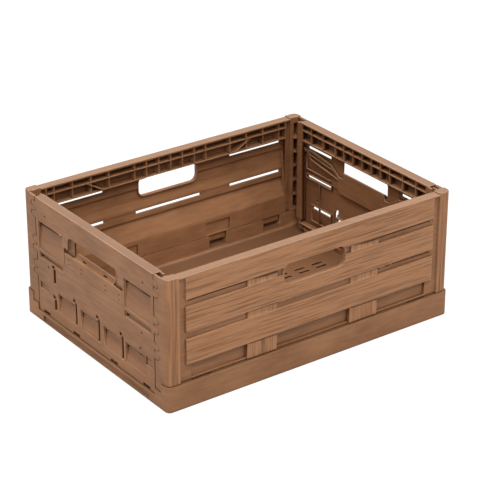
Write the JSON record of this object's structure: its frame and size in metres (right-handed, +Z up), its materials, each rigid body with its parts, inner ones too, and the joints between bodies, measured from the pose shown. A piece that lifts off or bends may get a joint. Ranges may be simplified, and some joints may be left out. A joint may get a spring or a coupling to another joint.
{
  "type": "folding plastic crate",
  "caption": "Open folding plastic crate with wood-look slatted long walls, hand holes in all four walls and inward-folding short walls with lift-to-release bars.",
  "frame": {"origin": "centre of the base's underside, on the ground", "axes": "+X along the long side, +Y across the crate, +Z up"},
  "size_m": [0.4, 0.3, 0.16],
  "materials": {
    "crate_plastic": "matte brown polypropylene, moulded wood grain on the long walls",
    "bar_plastic": "matte brown polypropylene, smooth"
  },
  "bodies": {
    "root": {"base": "crate_plastic", "long_wall_front": "crate_plastic", "long_wall_back": "crate_plastic"},
    "short_left": {"short_wall_left": "crate_plastic"},
    "short_right": {"short_wall_right": "crate_plastic"},
    "bar_left": {"release_bar_left": "bar_plastic"},
    "bar_right": {"release_bar_right": "bar_plastic"}
  },
  "joints": [
    {"name": "fold_left", "type": "hinge", "parent": "root", "child": "short_left", "pos_m": [-0.1905, 0, 0.013], "axis": [0, 1, 0], "range_deg": [0, 90]},
    {"name": "fold_right", "type": "hinge", "parent": "root", "child": "short_right", "pos_m": [0.1905, 0, 0.013], "axis": [0, -1, 0], "range_deg": [0, 90]},
    {"name": "lift_left", "type": "slide", "parent": "short_left", "child": "bar_left", "axis": [0, 0, 1], "range_m": [0, 0.006], "stiffness_N_per_m": 300, "springref_m": -0.002},
    {"name": "lift_right", "type": "slide", "parent": "short_right", "child": "bar_right", "axis": [0, 0, 1], "range_m": [0, 0.006], "stiffness_N_per_m": 300, "springref_m": -0.002}
  ]
}
